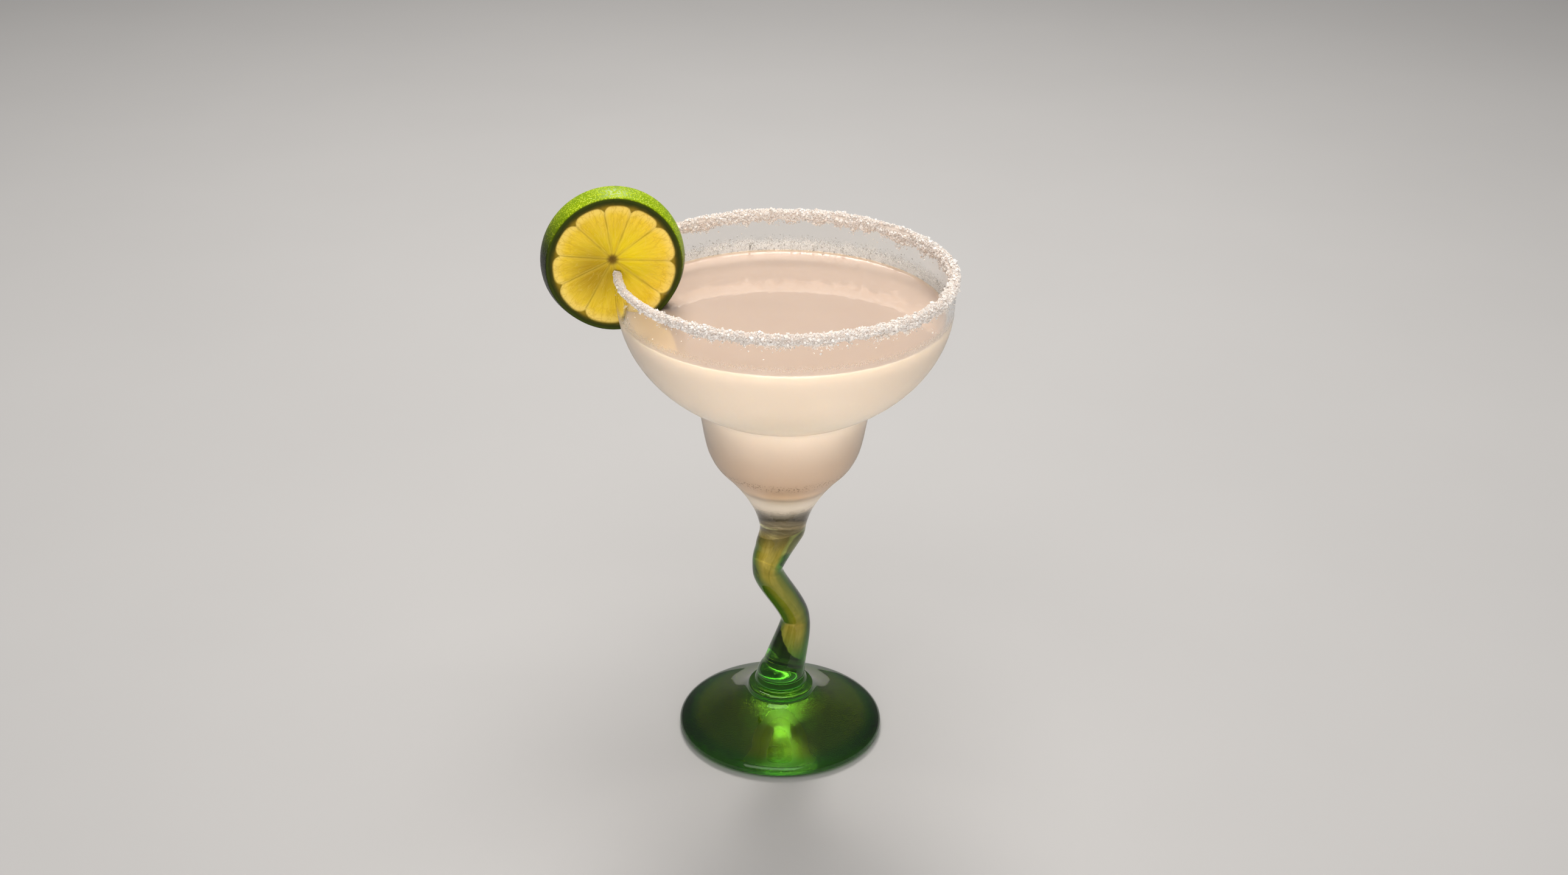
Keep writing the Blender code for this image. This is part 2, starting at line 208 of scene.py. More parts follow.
# Stage
FLOOR_HALF = 4000
FLOOR_DROP = 0.2
FLOOR_TONES = ((0.425, 0.430, 0.436), (0.455, 0.460, 0.466))
SKY = ((0.0, 0.20), (0.45, 0.18), (1.0, 0.26))
SKY_TONE = (1.0, 0.975, 0.95)
WARM = (1.0, 0.95, 0.90)
LAMPS = (  # name, place, height it looks at, size, power, colour, seen in reflections
    ("front", (-0.15, -0.75, 1.25), 0.12, (1.2, 0.7), 5.5, WARM, True),
    ("low", (0.15, -1.35, 0.20), 0.12, (1.3, 0.36), 10.8, WARM, False),
    ("over", (0.1, 0.15, 1.35), 0.12, (0.8, 0.8), 10.0, WARM, False),
    ("back", (-0.05, 0.75, 1.05), 0.15, (0.36, 0.36), 9.0, (1.0, 0.94, 0.88), True),
)
BOUNCES, GLASS_BOUNCES, CLEAR_BOUNCES = 16, 14, 12


def catmull(stations, per_span):
    """Points on a smooth curve through the stations."""
    held = np.array([stations[0], *stations, stations[-1]], float)
    found = []
    for a, b, c, d in zip(held, held[1:], held[2:], held[3:]):
        for t in np.arange(per_span) / per_span:
            found.append(0.5 * (2 * b + (c - a) * t + (2 * a - 5 * b + 4 * c - d) * t ** 2
                                + (3 * b - a - 3 * c + d) * t ** 3))
    found.append(held[-1])
    return np.array(found)


def smoothstep(low, high, x):
    """0 at low, 1 at high and a soft step between."""
    t = np.clip((x - low) / (high - low), 0, 1)
    return t * t * (3 - 2 * t)


def value_noise(points, seed):
    """Smooth noise from -1 to 1 at 3-D points, from a seeded lattice of values."""
    cell = np.floor(points).astype(np.int64)
    t = points - cell
    t = t * t * (3 - 2 * t)
    total = np.zeros(len(points))
    for corner in np.ndindex(2, 2, 2):
        at = cell + corner
        mixed = at[:, 0] * 374761393 + at[:, 1] * 668265263 + at[:, 2] * 2147483647 + seed * 974711
        mixed = (mixed ^ (mixed >> 13)) * 1274126177
        value = ((mixed ^ (mixed >> 16)) & 0xFFFF) / 32767.5 - 1
        weight = np.prod(np.where(corner, t, 1 - t), axis=1)
        total += value * weight
    return total


def rim_noise(angle, lane, scale, seed):
    """Noise round the rim with features of a size in mm, seamless over the full turn."""
    turn = RIM_R / scale
    points = np.stack([np.cos(angle) * turn, np.sin(angle) * turn, np.broadcast_to(lane, angle.shape)], 1)
    return value_noise(points + 100.0, seed)


def mesh_object(name, points, faces, smooth=True):
    """A mesh object from points in mm."""
    mesh = bpy.data.meshes.new(name)
    mesh.from_pydata((np.asarray(points) * MM).tolist(), [], [list(face) for face in faces])
    mesh.validate()
    if smooth:
        mesh.shade_smooth()
    made = bpy.data.objects.new(name, mesh)
    bpy.context.scene.collection.objects.link(made)
    return made


def store(made, name, values):
    """Keeps a number or a vector for each point of a mesh, for its material to read."""
    values = np.asarray(values, np.float32)
    kind, field = ("FLOAT", "value") if values.ndim == 1 else ("FLOAT_VECTOR", "vector")
    layer = made.data.attributes.new(name, kind, "POINT")
    layer.data.foreach_set(field, values.ravel())


def ring_faces(rings, around, start_pole=None, end_pole=None, flip=False):
    """Quads between rings of points, with a fan at either end that closes on a pole.

    Faces look away from the axis where the rings go up, and the other way with flip.
    """
    faces = []
    for ring in range(rings - 1):
        base, above = ring * around, (ring + 1) * around
        for k in range(around):
            j = (k + 1) % around
            faces.append((base + k, base + j, above + j, above + k))
    if start_pole is not None:
        faces += [(start_pole, (k + 1) % around, k) for k in range(around)]
    if end_pole is not None:
        base = (rings - 1) * around
        faces += [(end_pole, base + k, base + (k + 1) % around) for k in range(around)]
    return [face[::-1] for face in faces] if flip else faces


def belly_radius(z):
    """Outer radius of the upper tier at a height."""
    if z >= BELLY_Z:
        return BELLY_R + (RIM_R - BELLY_R) * (z - BELLY_Z) / (RIM_Z - BELLY_Z)
    return BELLY_R * math.sqrt(1 - ((BELLY_Z - z) / BELLY_DROP) ** 2)


def belly_wall(z):
    """Thickness of the upper tier's wall at a height."""
    return RIM_WALL * (1 + WALL_GROWTH * ((RIM_Z - z) / (RIM_Z - STEP_Z)) ** 2)


def softened(profile, rounds=2, reach=0.25):
    """The profile with its corners rounded a little, ends held."""
    points = np.array(profile, float)
    for _ in range(rounds):
        points[1:-1] += reach * (points[:-2] + points[2:] - 2 * points[1:-1])
    return points


def outer_profile():
    """(radius, height) down the outside from under the lip to the neck."""
    heights = STEP_Z + (RIM_Z - RIM_WALL / 2 - STEP_Z) * (np.linspace(1, 0, 60) ** 1.3)
    upper = [(belly_radius(z), z) for z in heights]
    lower = catmull(((28.9, 127.6), *LOWER_OUTSIDE), 6)
    return softened(np.vstack([upper, lower]))


def inner_profile():
    """(radius, height) from the middle of the cavity's floor up to under the lip."""
    lower = catmull(LOWER_INSIDE, 6)[::-1]
    turn = LOWER_INSIDE[0][1]
    heights = turn + (RIM_Z - RIM_WALL / 2 - turn) * (np.linspace(0, 1, 56)[1:] ** 1.3)
    upper = [(belly_radius(z) - belly_wall(z), z) for z in heights]
    return softened(np.vstack([lower, upper]))


def lip_profile():
    """(radius, height) over the rounded lip, from the inside out."""
    half = RIM_WALL / 2
    turns = np.linspace(0, math.pi, 11)[1:-1]
    return [(RIM_R - half - half * math.cos(t), RIM_Z - half + half * math.sin(t)) for t in turns]


def stem_path():
    """(height, offset in the zigzag's plane, radius) along the stem, top to bottom."""
    found = []
    for (z0, s0, r0, h0, k0), (z1, s1, r1, h1, k1) in zip(STEM_STATIONS, STEM_STATIONS[1:]):
        a, b = np.array([z0, s0]), np.array([z0 - h0, s0 - k0 * h0])
        c, d = np.array([z1 + h1, s1 + k1 * h1]), np.array([z1, s1])
        for t in np.linspace(0, 1, 40, endpoint=False):
            place = a * (1 - t) ** 3 + 3 * b * t * (1 - t) ** 2 + 3 * c * t ** 2 * (1 - t) + d * t ** 3
            found.append((*place, r0 + (r1 - r0) * t))
    return np.array(found)


STEM_PATH = stem_path()
NECK = catmull(LOWER_OUTSIDE, 8)[::-1]


def column(z):
    """Middle, half width in the zigzag's plane and half depth of the neck and stem at a height."""
    height, sway, radius = STEM_PATH.T
    half = np.sqrt(np.maximum(radius ** 2 - (z - height) ** 2, 0))
    near = half > 0
    right, left = (sway + half)[near].max(), (sway - half)[near].min()
    middle, width, depth = (left + right) / 2, (right - left) / 2, half.max()
    neck = float(smoothstep(*NECK_BLEND, z))
    if neck > 0:
        round_neck = float(np.interp(z, NECK[:, 1], NECK[:, 0]))
        width = width + (round_neck - width) * neck
        depth = depth + (round_neck - depth) * neck
        middle *= 1 - neck
    foot = float(smoothstep(COLLAR_BLEND_Z, COLLAR_Z, z))
    middle *= 1 - foot
    width += (STEM_STATIONS[-1][2] - width) * foot
    depth += (STEM_STATIONS[-1][2] - depth) * foot
    return middle, width, depth


def column_ring(z, tilt):
    """A ring of points round the neck or stem, which rises towards +X by the tilt."""
    along = np.array([math.cos(STEM_PLANE), math.sin(STEM_PLANE)])
    across = np.array([-along[1], along[0]])
    points = []
    for k in range(AROUND):
        turn = 2 * math.pi * k / AROUND
        lean = tilt * math.cos(turn) * SEAM_R
        middle, width, depth = column(z + lean)
        flat = turn - STEM_PLANE
        x, y = along * (middle + width * math.cos(flat)) + across * depth * math.sin(flat)
        points.append((x, y, z + lean))
    return points


def tilt_at(z):
    """Slope of a ring of the column, full at the seam and level away from it."""
    return SEAM_TILT * float(smoothstep(SEAM_REACH, 0, abs(z - SEAM_Z)))


def lathe_rings(profile):
    """A round ring of points for each (radius, height)."""
    turns = 2 * np.pi * np.arange(AROUND) / AROUND
    circle = np.stack([np.cos(turns), np.sin(turns)], 1)
    return [np.hstack([circle * r, np.full((AROUND, 1), z)]) for r, z in profile]


def make_bowl():
    """One skin of clear glass from the cavity's floor over the lip and down to the seam."""
    inside = inner_profile()
    outside = outer_profile()
    top_of_column = SEAM_Z + SEAM_REACH
    outside = outside[outside[:, 1] > top_of_column]
    rings = lathe_rings(np.vstack([inside[1:], lip_profile(), outside]))
    for z in np.linspace(top_of_column, SEAM_Z, 18):
        rings.append(column_ring(z, tilt_at(z)))
    points = np.vstack(rings + [[(0, 0, inside[0][1])]])
    faces = ring_faces(len(rings), AROUND, start_pole=len(points) - 1, flip=True)
    return mesh_object("bowl_glass", points, faces)


def make_stem():
    """One skin of green glass from the seam down the zigzag and over the foot.

    The strand attribute winds round it, so that drawn streaks can run along the glass.
    """
    rings = []
    for z in np.linspace(SEAM_Z, COLLAR_Z, 120):
        rings.append(column_ring(z, tilt_at(z)))
    profile = softened(catmull(FOOT_OUTSIDE, 6), rounds=1)
    rings += lathe_rings(np.vstack([profile, [(r, 0.0) for r in UNDERSIDE_R]]))
    points = np.vstack(rings + [[(0, 0, 0)]])
    faces = ring_faces(len(rings), AROUND, end_pole=len(points) - 1, flip=True)
    stem = mesh_object("green_stem_and_foot", points, faces)
    turns = 2 * np.pi * (np.arange(len(points)) % AROUND) / AROUND
    strand = np.stack([np.cos(turns), np.sin(turns), points[:, 2] / 100], 1)
    store(stem, "strand", strand)
    return stem


def make_drink():
    """The drink up to its level, a little into the wall, with a meniscus at the glass."""
    inside = inner_profile()
    wet = inside[inside[:, 1] < LEVEL_Z + MENISCUS]
    direction = np.gradient(wet, axis=0)
    normal = np.stack([direction[:, 1], -direction[:, 0]], 1)
    normal /= np.linalg.norm(normal, axis=1, keepdims=True)
    side = wet + normal * INTO_WALL
    side[:, 0] = np.maximum(side[:, 0], 0)
    edge = float(np.interp(LEVEL_Z, inside[:, 1], inside[:, 0]))
    reach = np.concatenate([np.linspace(0.1, 0.9, 16), 1 - np.geomspace(0.1, 0.0005, 26)]) * edge
    rise = MENISCUS * np.exp(-(edge - reach) / MENISCUS_REACH)
    top = np.stack([reach, LEVEL_Z - LEVEL_DIP + rise], 1)
    rings = lathe_rings(np.vstack([side[1:], [(edge + INTO_WALL, LEVEL_Z + MENISCUS)], top[::-1]]))
    points = np.vstack(rings + [[(0, 0, side[0][1])], [(0, 0, LEVEL_Z - LEVEL_DIP)]])
    faces = ring_faces(len(rings), AROUND, start_pole=len(points) - 2, end_pole=len(points) - 1)
    return mesh_object("drink_body", points, faces)


def lime_factor(angle):
    """Share of its radius that the wheel's outline reaches: a little tall, with flats."""
    flats = sum(depth * np.exp(-((np.mod(angle, 2 * np.pi) - math.radians(place)) / width) ** 2)
                for place, width, depth in LIME_FLATS)
    return 1 - LIME_TALL * np.cos(2 * angle) + 0.005 * np.cos(3 * angle + 2.1) - flats


def lime_masks(x, y):
    """Share of the way to the flesh's edge, distance to the nearest membrane, and pulp place."""
    dx, dy = x - CORE_OFFSET[0], y / (1 + LIME_TALL) - CORE_OFFSET[1]
    distance = np.hypot(dx, dy) + 1e-6
    angle = np.arctan2(dy, dx)
    along = (CORE_OFFSET[0] * dx + CORE_OFFSET[1] * dy) / distance
    core = CORE_OFFSET[0] ** 2 + CORE_OFFSET[1] ** 2
    bounds = np.radians(np.array(MEMBRANES_DEG, float))
    turn = np.mod(angle[:, None] - bounds[None, :] + np.pi, 2 * np.pi) - np.pi
    nearest = np.abs(turn).argmin(1)
    gap = turn[np.arange(len(turn)), nearest]
    beside = np.abs(np.sin(gap)) * distance
    spans = np.abs(np.diff(np.append(bounds, bounds[0] - 2 * np.pi)))
    span = spans[np.where(gap < 0, nearest, nearest - 1)]
    share = np.clip(1 - 2 * np.abs(gap) / span, 0, 1)
    reach = np.sqrt(along ** 2 - core + FLESH_R ** 2) - along
    reach = reach * (1 - 0.10 * share ** 5)
    segment = np.where(gap < 0, nearest, nearest - 1) % len(bounds)
    across = np.where(gap < 0, -gap, span - gap)
    pulp = np.stack([across * 13, distance * 0.42, segment * 7.3], 1)
    return distance / reach, beside, distance, pulp


def lime_relief(edge, beside, distance):
    """Height of a cut face in mm: segments sit just under the rind, with fine membranes."""
    inside = 1 - smoothstep(0.985, 1.03, edge)
    cushion = smoothstep(0.15, 1.1, beside) * smoothstep(1.0, 0.93, edge)
    core = np.exp(-(distance / 1.6) ** 2)
    return -0.42 * inside + 0.30 * inside * cushion - 0.35 * core


def make_lime():
    """The slice as one skin: front face, bulging rind and back face, slit to straddle the glass."""
    turns = 2 * np.pi * np.arange(LIME_AROUND) / LIME_AROUND
    circle = np.stack([np.cos(turns), np.sin(turns)], 1) * lime_factor(turns)[:, None]
    half = LIME_THICK / 2
    shares = np.linspace(0, 1, LIME_ACROSS + 1)[1:] ** 0.85
    front = [(FACE_R * share, half) for share in shares]
    side = []
    for share in np.linspace(0, 1, 22):
        growth = (LIME_BACK_R - LIME_FRONT_R) * math.sin(share * RIND_BULGE) / math.sin(RIND_BULGE)
        side.append((LIME_FRONT_R + growth, half - EDGE_ROUND - share * (LIME_THICK - 2 * EDGE_ROUND)))
    back = [((FACE_R + LIME_BACK_R - LIME_FRONT_R) * share, -half) for share in shares[::-1]]
    profile = front + side + back
    cut = [True] * len(front) + [False] * len(side) + [True] * len(back)
    points, kept = [], {name: [] for name in ("edge", "beside", "core", "pulp", "peel", "rim")}
    for (r, z), is_cut in zip(profile + [(0.0, half), (0.0, -half)], cut + [True, True]):
        ring = circle * r if r > 0 else np.zeros((1, 2))
        edge, beside, distance, pulp = lime_masks(ring[:, 0], ring[:, 1])
        lift = lime_relief(edge, beside, distance) * math.copysign(1, z) if is_cut else 0.0
        points.append(np.column_stack([ring, np.full(len(ring), z) + lift]))
        peel, rim = np.full(len(ring), 0.0 if is_cut else 1.0), np.full(len(ring), r / FACE_R)
        for name, values in zip(kept, (edge, beside, distance, pulp, peel, rim)):
            kept[name].append(values)
    points = np.vstack(points)
    count = len(profile) * LIME_AROUND
    faces = ring_faces(len(profile), LIME_AROUND, start_pole=count, end_pole=count + 1, flip=True)
    lime = mesh_object("lime_slice", points, faces)
    for name, values in kept.items():
        store(lime, name, np.concatenate(values))
    place = (Matrix.Translation([c * MM for c in LIME_CENTRE]) @ Matrix.Rotation(LIME_YAW, 4, "Z")
             @ Matrix.Rotation(math.pi / 2, 4, "X"))
    lime.data.transform(place)
    return lime


def make_slit_cutter():
    """A ring of the glass's wall with a little room, up to just over the lip."""
    heights = np.linspace(LIME_CENTRE[2] - LIME_BACK_R * 1.15, RIM_Z + SLIT_ROOM, 24)
    inner = [(belly_radius(z) - belly_wall(z) - SLIT_ROOM, z) for z in heights]
    outer = [(belly_radius(z) + SLIT_ROOM, z) for z in heights[::-1]]
    rings = lathe_rings(inner + outer)
    faces = ring_faces(len(rings), AROUND)
    last = (len(rings) - 1) * AROUND
    faces += [(last + k, last + (k + 1) % AROUND, (k + 1) % AROUND, k) for k in range(AROUND)]
    return mesh_object("slit_cutter", np.vstack(rings), faces, smooth=False)


def cut_slit(lime):
    """Takes the glass's wall out of the slice, so that it straddles the rim."""
    cutter = make_slit_cutter()
    bpy.context.view_layer.objects.active = cutter
    modifier = lime.modifiers.new("Slit", "BOOLEAN")
    modifier.operation = "DIFFERENCE"
    modifier.solver = "EXACT"
    modifier.object = cutter
    bpy.context.view_layer.update()
    graph = bpy.context.evaluated_depsgraph_get()
    mesh = bpy.data.meshes.new_from_object(lime.evaluated_get(graph))
    lime.modifiers.clear()
    lime.data = mesh
    bpy.data.objects.remove(cutter, do_unlink=True)


def salt_wealth(angle):
    """How much salt the rim took, thin beside the lime and thickest on the right."""
    return np.interp(np.degrees(angle) % 360, SALT_PLACES_DEG, SALT_AMOUNTS)


def hem_depth(depth, angle, lane, seed, fine):
    """How far a hem of the crust hangs below the lip, ragged at three scales."""
    ragged = (1 + 0.45 * rim_noise(angle, lane, 10, seed) + 0.45 * rim_noise(angle, lane + 2, 2.4, seed + 1)
              + fine * rim_noise(angle, lane + 4, 0.9, seed + 2))
    return depth * salt_wealth(angle) * ragged


def crust_surface(angle, share, lift):
    """Points of the crust: share runs 0 to 1 from the outer hem over the lip to the inner hem."""
    half = RIM_WALL / 2
    top = RIM_Z - half
    outer = hem_depth(SALT_OUTSIDE, angle, 3.0, 1, 0.25)
    inner = hem_depth(SALT_INSIDE, angle, 13.0, 4, 0.30)
    turn = np.clip((share - LIP_START) / (LIP_END - LIP_START), 0, 1) * math.pi
    below = np.where(share < LIP_START, (1 - share / LIP_START) * outer, 0.0)
    below = np.where(share > LIP_END, (share - LIP_END) / (1 - LIP_END) * inner, below)
    z = top - below
    reach = half + 0.1 + lift
    wall = np.array([belly_radius(v) for v in np.clip(z, STEP_Z, RIM_Z)])
    thick = np.array([belly_wall(v) for v in np.clip(z, STEP_Z, RIM_Z)])
    middle = wall - thick / 2
    half_here = thick / 2 + 0.1 + lift
    r = middle + half_here * np.cos(turn)
    z = z + np.where((share > LIP_START) & (share < LIP_END), reach * np.sin(turn), 0.0)
    return np.stack([r * np.cos(angle), r * np.sin(angle), z], 1)


def crust_lift(angle, share):
    """Thickness of the crust in mm, thin at its hems."""
    rough = 0.55 * rim_noise(angle, share * 9, 2.2, 21) + 0.45 * rim_noise(angle, share * 22, 0.8, 22)
    hem = smoothstep(0, 0.10, share) * smoothstep(1, 0.90, share)
    bare = bare_glass(angle, share)
    thick = SALT_THICK * (0.4 + 0.6 * salt_wealth(angle))
    return np.maximum(thick * (0.75 + 0.8 * rough) * hem * (1 - 0.9 * bare), 0.0) - 0.05


def bare_glass(angle, share):
    """1 on the thin line inside the rim's top that stayed bare in places, else 0."""
    return smoothstep(0.05, 0.40, rim_noise(angle, 31.0, 6.0, 23)) * np.exp(-((share - 0.60) / 0.05) ** 2)


def salt_angles(count, random=None):
    """Angles round the rim outside the lime's gap, even, or drawn where a generator is given."""
    start, end = math.radians(SALT_GAP_DEG[1]), math.radians(SALT_GAP_DEG[0] + 360)
    if random is None:
        return np.linspace(start, end, count)
    return random.uniform(start, end, count)


def make_crust():
    """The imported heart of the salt, short of the ragged hems that loose grains make."""
    angle, share = np.meshgrid(salt_angles(CRUST_AROUND), np.linspace(0, 1, CRUST_ACROSS), indexing="ij")
    angle, share = angle.ravel(), share.ravel()
    drawn_in = 0.5 + (share - 0.5) * CRUST_SHARE
    points = crust_surface(angle, drawn_in, crust_lift(angle, share))
    faces = []
    for i in range(CRUST_AROUND - 1):
        for j in range(CRUST_ACROSS - 1):
            k = i * CRUST_ACROSS + j
            faces.append((k, k + CRUST_ACROSS, k + CRUST_ACROSS + 1, k + 1))
    return mesh_object("salt_crust", points, faces)


def held_lift(angle, share):
    """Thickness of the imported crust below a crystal."""
    return np.maximum(crust_lift(angle, np.clip(0.5 + (share - 0.5) / CRUST_SHARE, 0, 1)), 0)


def stray_places(random):
    """A few crystals on the bare glass below both hems."""
    angle = salt_angles(STRAY_GRAINS, random)
    outside = random.random(STRAY_GRAINS) < 0.4
    z = RIM_Z - (random.exponential(1.5, STRAY_GRAINS) + 2.0)
    wall = np.array([belly_radius(v) for v in z])
    thick = np.array([belly_wall(v) for v in z])
    r = np.where(outside, wall + 0.1, wall - thick - 0.1)
    return np.stack([r * np.cos(angle), r * np.sin(angle), z], 1)


def make_grains():
    """Coarse crystals, clustered on the crust and below it, and a few strays."""
    random = np.random.default_rng(7)
    tries = COARSE_GRAINS * 3
    share = np.clip(0.5 + random.uniform(-0.5, 0.5, tries) * random.uniform(0.55, 1.0, tries), 0.0, 1.0)
    angle = salt_angles(tries, random)
    clump = (0.6 * rim_noise(angle, 41.0 + share * 4, 2.0, 31)
             + 0.4 * rim_noise(angle, 43.0 + share * 9, 0.8, 32))
    hem = smoothstep(0.24, 0.5, np.abs(share - 0.5))
    scarce = 0.7 * (1 - salt_wealth(angle)) + 1.2 * bare_glass(angle, share)
    keep = np.flatnonzero(clump > hem * 0.75 - 0.45 + scarce)[:COARSE_GRAINS]
    share, angle = share[keep], angle[keep]
    size = np.clip(random.lognormal(math.log(COARSE_SIZE), 0.42, len(share)), 0.17, 1.0)
    size *= 0.55 + 0.45 * salt_wealth(angle)
    places = crust_surface(angle, share, held_lift(angle, share) + 0.22 * size)
    places = np.vstack([places, stray_places(random)])
    size = np.append(size, np.clip(random.lognormal(math.log(STRAY_SIZE), 0.35, STRAY_GRAINS), 0.14, 0.6))
    return cubes("salt_grains", places, size, random)


def make_fine_salt():
    """Small crystals bedded all over the crust, between the coarse ones."""
    random = np.random.default_rng(19)
    share = np.clip(0.5 + random.uniform(-0.44, 0.44, FINE_GRAINS), 0.0, 1.0)
    angle = salt_angles(FINE_GRAINS, random)
    size = np.clip(random.lognormal(math.log(FINE_SIZE), 0.30, FINE_GRAINS), 0.14, 0.42)
    size *= 0.65 + 0.35 * salt_wealth(angle)
    keep = bare_glass(angle, share) < 0.5
    places = crust_surface(angle, share, held_lift(angle, share) + 0.12 * size)
    return cubes("fine_salt", places[keep], size[keep], random)


def cubes(name, places, size, random):
    """Uneven cubes as one mesh, with a glint attribute that differs from cube to cube."""
    corners = np.array([(x, y, z) for x in (-0.5, 0.5) for y in (-0.5, 0.5) for z in (-0.5, 0.5)])
    quads = np.array([(0, 1, 3, 2), (4, 6, 7, 5), (0, 4, 5, 1), (2, 3, 7, 6), (0, 2, 6, 4), (1, 5, 7, 3)])
    count = len(places)
    turn = random.normal(size=(count, 4))
    turn /= np.linalg.norm(turn, axis=1, keepdims=True)
    w, x, y, z = turn.T
    rotation = np.stack([
        1 - 2 * (y * y + z * z), 2 * (x * y - z * w), 2 * (x * z + y * w),
        2 * (x * y + z * w), 1 - 2 * (x * x + z * z), 2 * (y * z - x * w),
        2 * (x * z - y * w), 2 * (y * z + x * w), 1 - 2 * (x * x + y * y)], 1).reshape(count, 3, 3)
    scale = size[:, None] * random.uniform(0.7, 1.25, (count, 3))
    shape = corners[None] * scale[:, None, :] * random.uniform(0.8, 1.15, (count, 8, 1))
    points = np.einsum("nij,nkj->nki", rotation, shape) + places[:, None, :]
    faces = (quads[None] + 8 * np.arange(count)[:, None, None]).reshape(-1, 4)
    made = mesh_object(name, points.reshape(-1, 3), faces.tolist(), smooth=False)
    store(made, "glint", np.repeat(random.random(count), 8))
    return made


def make_beads():
    """Fine drops of damp on the inner wall just above the drink, at the back and the sides."""
    random = np.random.default_rng(11)
    angle = random.uniform(0, 2 * math.pi, BEAD_TRIES)
    rise = random.exponential(2.0, BEAD_TRIES) + MENISCUS * 0.8
    wanted = smoothstep(-0.55, 0.15, np.sin(angle))
    keep = (rise < BEAD_REACH) & (random.random(BEAD_TRIES) < wanted)
    angle, rise = angle[keep], rise[keep]
    z = LEVEL_Z + rise
    r = np.array([belly_radius(v) - belly_wall(v) for v in z])
    places = np.stack([r * np.cos(angle), r * np.sin(angle), z], 1)
    size = np.clip(random.lognormal(math.log(BEAD_SIZE), 0.4, len(places)), 0.06, 0.36)
    return domes("damp_beads", places, size)


def domes(name, places, size):
    """Small balls as one mesh, half sunk in the surface they lie on."""
    rings, around = 3, 6
    ball = [(0, 0, 1)]
    for i in range(1, rings + 1):
        tip = math.pi * i / (rings + 1)
        for k in range(around):
            turn = 2 * math.pi * k / around
            ball.append((math.sin(tip) * math.cos(turn), math.sin(tip) * math.sin(turn), math.cos(tip)))
    ball.append((0, 0, -1))
    faces = [(0, 1 + k, 1 + (k + 1) % around) for k in range(around)]
    for i in range(rings - 1):
        for k in range(around):
            a, b = 1 + i * around + k, 1 + i * around + (k + 1) % around
            faces.append((a, a + around, b + around, b))
    last = len(ball) - 1
    faces += [(last, last - 1 - k, last - 1 - (k + 1) % around) for k in range(around)]
    points = (np.array(ball)[None] * size[:, None, None] + places[:, None, :]).reshape(-1, 3)
    every = [[v + len(ball) * n for v in face] for n in range(len(places)) for face in faces]
    return mesh_object(name, points, every)


